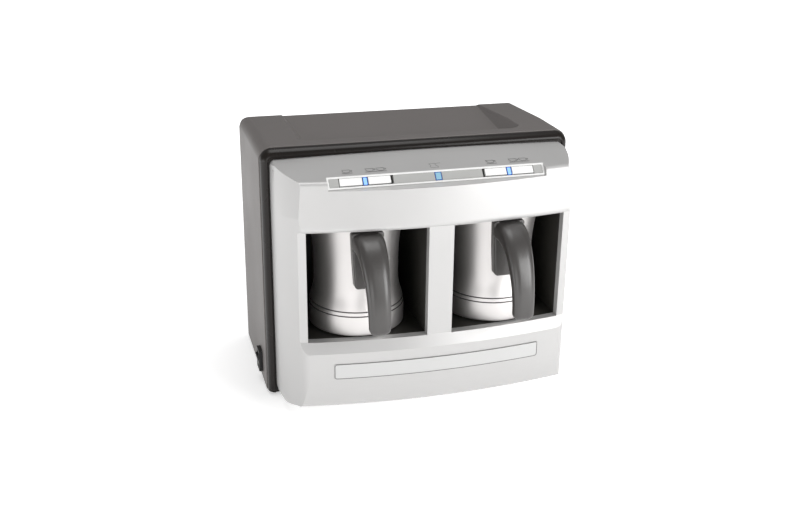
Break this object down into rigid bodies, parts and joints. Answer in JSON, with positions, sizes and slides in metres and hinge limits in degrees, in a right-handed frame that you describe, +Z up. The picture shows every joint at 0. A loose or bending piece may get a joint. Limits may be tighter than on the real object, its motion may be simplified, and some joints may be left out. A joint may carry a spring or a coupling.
{
  "type": "electric turkish coffee maker",
  "caption": "Electric Turkish coffee maker with removable handled pots on heated plates, a sloped key strip and a sunken top tray.",
  "frame": {"origin": "middle of the footprint of the whole part, on the plane of the feet", "axes": "+Z up, the bays and the control strip face -Y, +X to the right seen from the front"},
  "size_m": [0.3038, 0.2594, 0.2475],
  "materials": {
    "shell_plastic": "matt",
    "dark_gloss": "polished",
    "silver_paint": "satin",
    "black_plastic": "matt",
    "pale_plastic": "satin",
    "grey_plastic": "satin",
    "white_plastic": "polished",
    "blue_lens": "polished",
    "satin_steel": "satin",
    "dark_handle": "satin",
    "screw_steel": "polished",
    "plate_coating": "matt",
    "element_tube": "satin",
    "sheet_steel": "satin",
    "sleeve_fabric": "matt",
    "red_window": "polished",
    "rubber": "matt",
    "circuit_board": "satin",
    "dark_steel": "satin",
    "blue_plastic": "satin",
    "terminal_plastic": "satin",
    "brown_lead": "satin",
    "grey_lead": "satin"
  },
  "bodies": {
    "machine": {"rear_shell": "shell_plastic", "trim_ring": "dark_gloss", "front_panel": "silver_paint", "bay_liner_left": "black_plastic", "bay_liner_right": "black_plastic", "control_bezel": "pale_plastic", "strip_inlays": "grey_plastic", "led_lens_left": "blue_lens", "led_lens_centre": "blue_lens", "led_lens_right": "blue_lens", "control_board": "circuit_board", "tact_switches": "black_plastic", "leds": "blue_lens", "board_screws": "screw_steel", "label_plate": "pale_plastic", "hotplate_left": "plate_coating", "hotplate_right": "plate_coating", "element_left": "element_tube", "element_right": "element_tube", "heat_shield_left": "sheet_steel", "heat_shield_right": "sheet_steel", "shield_screws_left": "screw_steel", "shield_screws_right": "screw_steel", "thermostat_left": "black_plastic", "thermostat_right": "black_plastic", "thermal_fuses": "sleeve_fabric", "foam_sensor_left": "black_plastic", "foam_sensor_right": "black_plastic", "sensor_window_left": "red_window", "sensor_window_right": "red_window", "switch_housing": "black_plastic", "base_plate": "black_plastic", "base_screws": "screw_steel", "rubber_feet": "rubber", "shell_screws": "screw_steel", "power_board": "circuit_board", "power_board_screws": "screw_steel", "transformer": "dark_steel", "relays": "blue_plastic", "buzzer": "black_plastic", "terminal_block": "terminal_plastic", "cord_gland": "black_plastic", "mains_leads": "brown_lead", "heater_leads": "sleeve_fabric", "signal_cable": "grey_lead"},
    "key_left_one": {"key_left_one": "white_plastic"},
    "key_left_two": {"key_left_two": "white_plastic"},
    "key_right_one": {"key_right_one": "white_plastic"},
    "key_right_two": {"key_right_two": "white_plastic"},
    "switch_rocker": {"switch_rocker": "black_plastic"},
    "pot_left": {"pot_left": "satin_steel", "handle_left": "dark_handle", "handle_screws_left": "screw_steel"},
    "pot_right": {"pot_right": "satin_steel", "handle_right": "dark_handle", "handle_screws_right": "screw_steel"}
  },
  "joints": [
    {"name": "key_left_one_press", "type": "slide", "parent": "machine", "child": "key_left_one", "axis": [0, 0.751, -0.6603], "range_m": [0, 0.001], "stiffness_N_per_m": 600},
    {"name": "key_left_two_press", "type": "slide", "parent": "machine", "child": "key_left_two", "axis": [0, 0.751, -0.6603], "range_m": [0, 0.001], "stiffness_N_per_m": 600},
    {"name": "key_right_one_press", "type": "slide", "parent": "machine", "child": "key_right_one", "axis": [0, 0.751, -0.6603], "range_m": [0, 0.001], "stiffness_N_per_m": 600},
    {"name": "key_right_two_press", "type": "slide", "parent": "machine", "child": "key_right_two", "axis": [0, 0.751, -0.6603], "range_m": [0, 0.001], "stiffness_N_per_m": 600},
    {"name": "rocker_tilt", "type": "hinge", "parent": "machine", "child": "switch_rocker", "pos_m": [-0.1456, 0.02275, 0.022], "axis": [0, 1, 0], "range_deg": [0, 20]},
    {"name": "pot_left_out", "type": "slide", "parent": "machine", "child": "pot_left", "axis": [0, -1, 0], "range_m": [0, 0.14]},
    {"name": "pot_right_out", "type": "slide", "parent": "machine", "child": "pot_right", "axis": [0, -1, 0], "range_m": [0, 0.14]}
  ]
}
